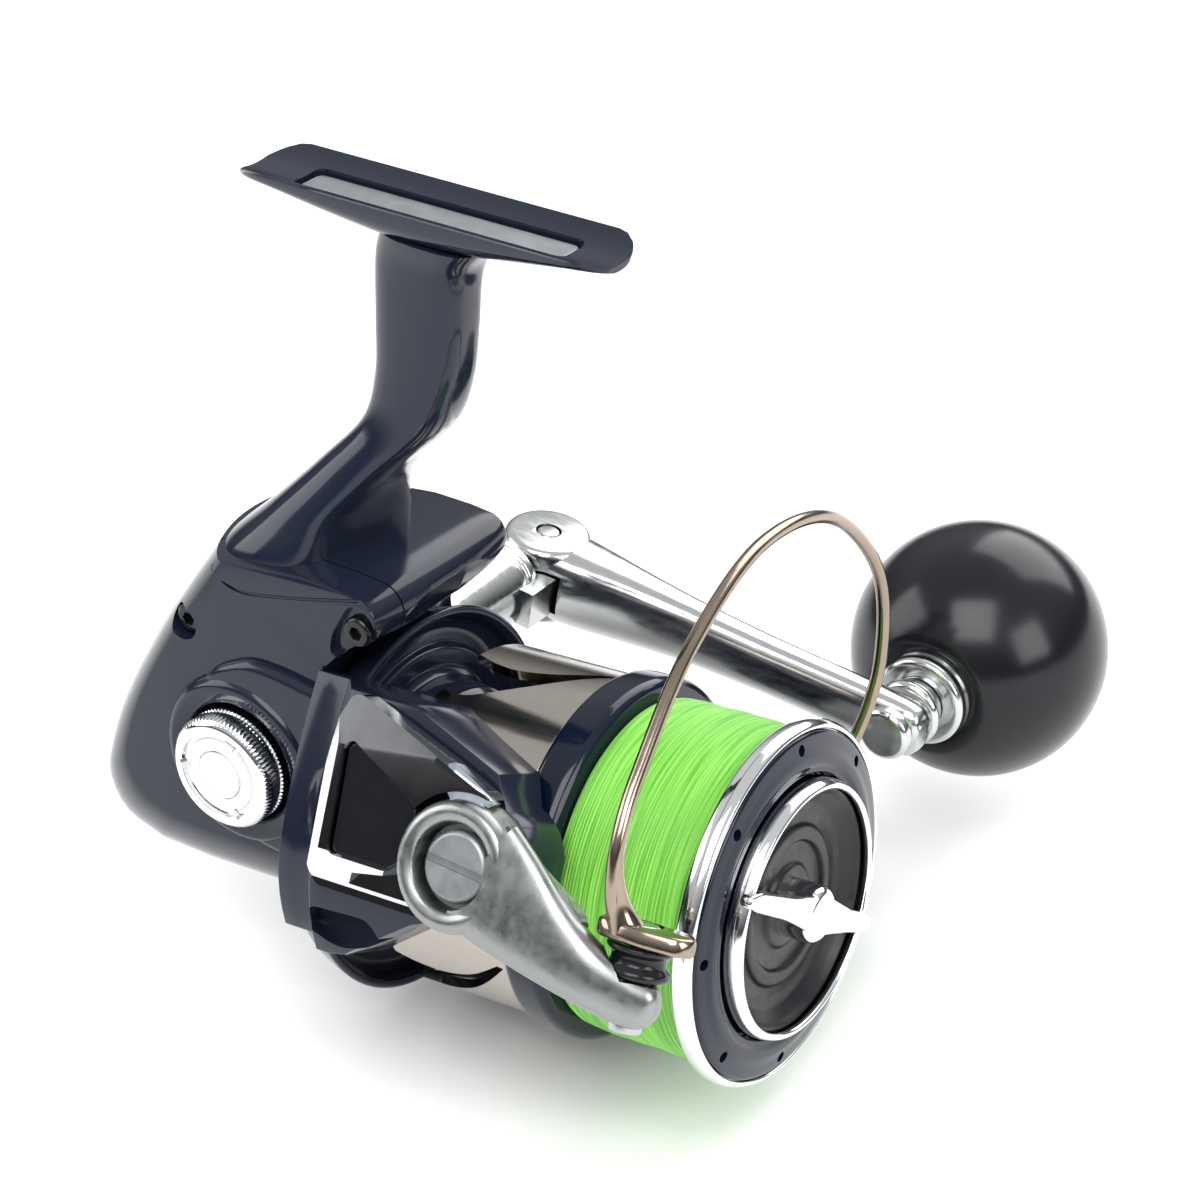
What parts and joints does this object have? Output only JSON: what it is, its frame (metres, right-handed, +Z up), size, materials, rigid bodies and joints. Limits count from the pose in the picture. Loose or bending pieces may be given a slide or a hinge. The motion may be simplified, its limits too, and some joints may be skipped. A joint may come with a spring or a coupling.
{
  "type": "spinning reel",
  "caption": "Fixed-spool spinning reel with rod foot, geared crank handle and ball knob, rotor with folding bail and line roller, sliding spool of green line and front drag knob.",
  "frame": {"origin": "middle of the foot's seat face, where the rod's reel seat holds the reel", "axes": "+X forward along the main shaft, from the housing to the spool; +Z up to the foot; +Y to the handle side"},
  "size_m": [0.1257, 0.1513, 0.1293],
  "materials": {
    "navy_paint": "deep navy gloss paint on die-cast metal",
    "polished_silver": "polished bright metal",
    "satin_silver": "satin grey-silver aluminium",
    "handle_silver": "polished machined aluminium",
    "champagne_silver": "bright champagne-silver anodised aluminium",
    "bronze_wire": "polished bronze-grey stainless wire",
    "steel": "turned stainless steel",
    "gear_brass": "machined brass",
    "black_plastic": "glossy black plastic",
    "black_knob": "satin-gloss black knob",
    "lime_line": "lime green braided fishing line, wound",
    "drag_felt": "greased felt and carbon washer"
  },
  "bodies": {
    "housing": {"body_frame": "navy_paint", "side_cover": "navy_paint", "rear_guard": "polished_silver", "foot_plate": "satin_silver", "cover_screw_front": "steel", "cover_screw_rear": "steel", "crank_bearing_left": "steel", "crank_bearing_right": "steel", "screw_cap": "polished_silver", "pinion_bearing": "steel", "clutch_housing": "steel", "clutch_cage": "black_plastic", "worm_bushing_front": "gear_brass", "worm_bushing_rear": "gear_brass", "guide_rod": "steel"},
    "crank": {"drive_gear": "gear_brass", "handle_collar": "handle_silver", "handle_shank": "handle_silver", "hinge_pin": "steel"},
    "handle": {"handle_arm": "handle_silver", "knob_shaft": "handle_silver", "knob_bearing_inner": "steel", "knob_bearing_outer": "steel", "knob_screw": "steel"},
    "knob": {"knob_flange": "handle_silver", "handle_knob": "black_knob", "knob_cap": "black_plastic"},
    "rotor": {"rotor": "navy_paint", "rotor_nut": "steel", "pinion_gear": "gear_brass", "clutch_sleeve": "steel", "arm_cover_frame": "polished_silver", "arm_cover_panel": "black_plastic", "arm_cover_far": "navy_paint", "bail_arm_screw": "steel", "bail_lever_screw": "steel"},
    "worm": {"worm_shaft": "steel"},
    "shaft": {"main_shaft": "steel", "oscillation_slider": "gear_brass", "spool_sleeve": "steel", "drag_plate": "steel"},
    "spool": {"spool": "champagne_silver", "line_pack": "lime_line", "spool_lip": "polished_silver", "face_ring": "navy_paint", "spool_bearing": "steel", "drag_washer_inner": "drag_felt", "drag_washer_outer": "drag_felt", "drag_retainer": "steel"},
    "drag_knob": {"drag_knob_bowl": "black_plastic", "drag_knob_ring": "polished_silver", "drag_knob_bar": "polished_silver", "drag_nut": "gear_brass"},
    "bail": {"bail_arm": "satin_silver", "bail_lever": "satin_silver", "bail_wire": "bronze_wire", "wire_cap": "bronze_wire", "roller_bearing": "steel", "roller_screw": "steel"},
    "line_roller": {"line_roller": "black_plastic"}
  },
  "joints": [
    {"name": "handle_crank", "type": "hinge", "parent": "housing", "child": "crank", "pos_m": [-0.0283, 0, -0.0823], "axis": [0, 1, 0], "continuous": true},
    {"name": "handle_fold", "type": "hinge", "parent": "crank", "child": "handle", "pos_m": [-0.02537, 0.0565, -0.08292], "axis": [0.2079, 0, 0.9781], "range_deg": [0, 90]},
    {"name": "handle_knob_spin", "type": "hinge", "parent": "handle", "child": "knob", "pos_m": [0.03714, 0.087, -0.09621], "axis": [0, 1, 0], "continuous": true},
    {"name": "rotor_spin", "type": "hinge", "parent": "housing", "child": "rotor", "pos_m": [-0.0073, 0, -0.0915], "axis": [1, 0, 0], "continuous": true},
    {"name": "worm_spin", "type": "hinge", "parent": "housing", "child": "worm", "pos_m": [-0.0423, 0, -0.102], "axis": [1, 0, 0], "continuous": true},
    {"name": "spool_oscillation", "type": "slide", "parent": "housing", "child": "shaft", "axis": [1, 0, 0], "range_m": [-0.009, 0.01]},
    {"name": "spool_drag_spin", "type": "hinge", "parent": "shaft", "child": "spool", "pos_m": [0.0377, 0, -0.0915], "axis": [1, 0, 0], "continuous": true},
    {"name": "drag_knob_turn", "type": "hinge", "parent": "shaft", "child": "drag_knob", "pos_m": [0.0527, 0, -0.0915], "axis": [1, 0, 0], "range_deg": [-540, 540]},
    {"name": "bail_flip", "type": "hinge", "parent": "rotor", "child": "bail", "pos_m": [0.0247, 0, -0.0915], "axis": [0, 0.8988, -0.4384], "range_deg": [0, 105]},
    {"name": "line_roller_spin", "type": "hinge", "parent": "bail", "child": "line_roller", "pos_m": [0.0512, -0.03558, -0.08004], "axis": [0, 0.4384, 0.8988], "continuous": true}
  ],
  "couplings": [
    {"joint": "rotor_spin", "follows": "handle_crank", "ratio": 6.2},
    {"joint": "worm_spin", "follows": "handle_crank", "ratio": -3.6167}
  ]
}
